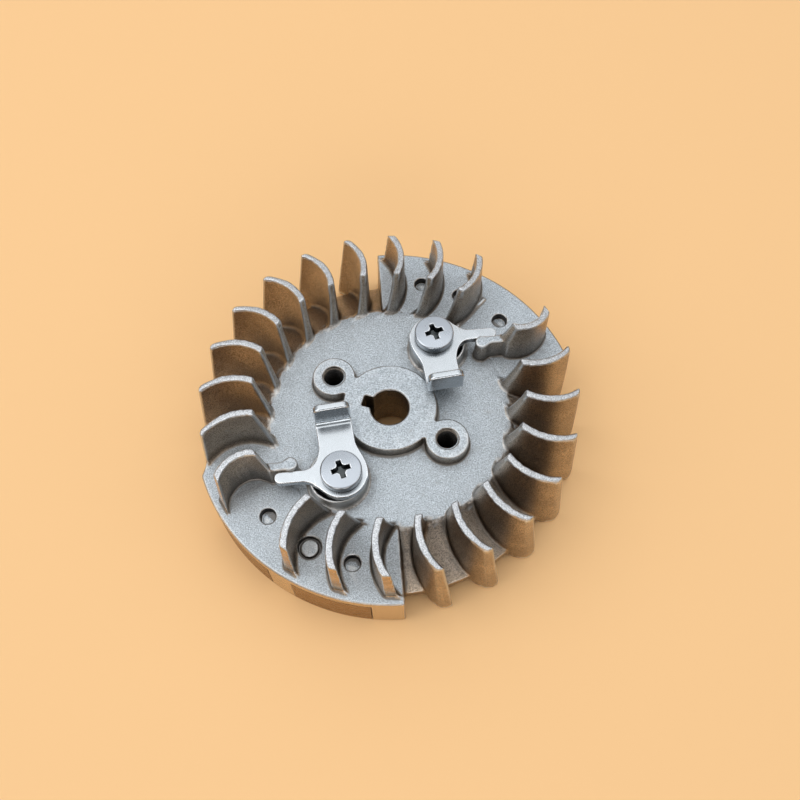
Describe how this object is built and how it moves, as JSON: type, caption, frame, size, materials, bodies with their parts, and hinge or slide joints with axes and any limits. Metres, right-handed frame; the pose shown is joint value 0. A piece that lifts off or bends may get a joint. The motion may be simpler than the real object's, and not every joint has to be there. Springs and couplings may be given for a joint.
{
  "type": "small engine flywheel",
  "caption": "Die-cast small-engine flywheel with curved cooling vanes, a flush magnet sector, a counterweight sector and two sprung starter pawls.",
  "frame": {"origin": "on the crankshaft bore's axis, level with the underside of the rim sectors", "axes": "+Z along the bore towards the fan and pawl side, which is the nut's side; +X to the right in the usual view"},
  "size_m": [0.0986, 0.1, 0.029],
  "materials": {
    "die_casting": "shot-blasted aluminium die casting, worn bright on the vane tops",
    "laminated_steel": "ground laminated electrical steel",
    "magnet": "dark sintered magnet",
    "plain_steel": "plain steel",
    "zinc_plated_steel": "bright zinc plate on stamped steel",
    "zinc_plated_screw": "bright zinc plate on turned steel",
    "spring_wire": "oil-tempered spring wire"
  },
  "bodies": {
    "flywheel": {"hub_and_web": "die_casting", "magnet_sector": "die_casting", "counterweight_sector": "die_casting", "stop_vane_1": "die_casting", "stop_vane_2": "die_casting", "fan_vane_01": "die_casting", "fan_vane_02": "die_casting", "fan_vane_03": "die_casting", "fan_vane_04": "die_casting", "fan_vane_05": "die_casting", "fan_vane_06": "die_casting", "fan_vane_07": "die_casting", "fan_vane_08": "die_casting", "fan_vane_09": "die_casting", "fan_vane_10": "die_casting", "fan_vane_11": "die_casting", "fan_vane_12": "die_casting", "fan_vane_13": "die_casting", "fan_vane_14": "die_casting", "fan_vane_15": "die_casting", "fan_vane_16": "die_casting", "fan_vane_17": "die_casting", "fan_vane_18": "die_casting", "fan_vane_19": "die_casting", "fan_vane_20": "die_casting", "magnet": "magnet", "pole_shoe_leading": "laminated_steel", "pole_shoe_trailing": "laminated_steel", "pole_shoe_rivets": "plain_steel", "counterweight": "plain_steel", "pawl_spring_1": "spring_wire", "pawl_spring_2": "spring_wire", "pawl_screw_1": "zinc_plated_screw", "pawl_screw_2": "zinc_plated_screw"},
    "pawl_a": {"pawl_1": "zinc_plated_steel"},
    "pawl_b": {"pawl_2": "zinc_plated_steel"}
  },
  "joints": [
    {"name": "pawl_1_swing", "type": "hinge", "parent": "flywheel", "child": "pawl_a", "pos_m": [0.0122, 0.01879, 0.0194], "axis": [0, 0, 1], "range_deg": [0, 30], "stiffness_Nm_per_rad": 0.01, "springref_deg": -28.65, "deforming": ["pawl_spring_1"]},
    {"name": "pawl_2_swing", "type": "hinge", "parent": "flywheel", "child": "pawl_b", "pos_m": [-0.0122, -0.01879, 0.0194], "axis": [0, 0, 1], "range_deg": [0, 30], "stiffness_Nm_per_rad": 0.01, "springref_deg": -28.65, "deforming": ["pawl_spring_2"]}
  ]
}
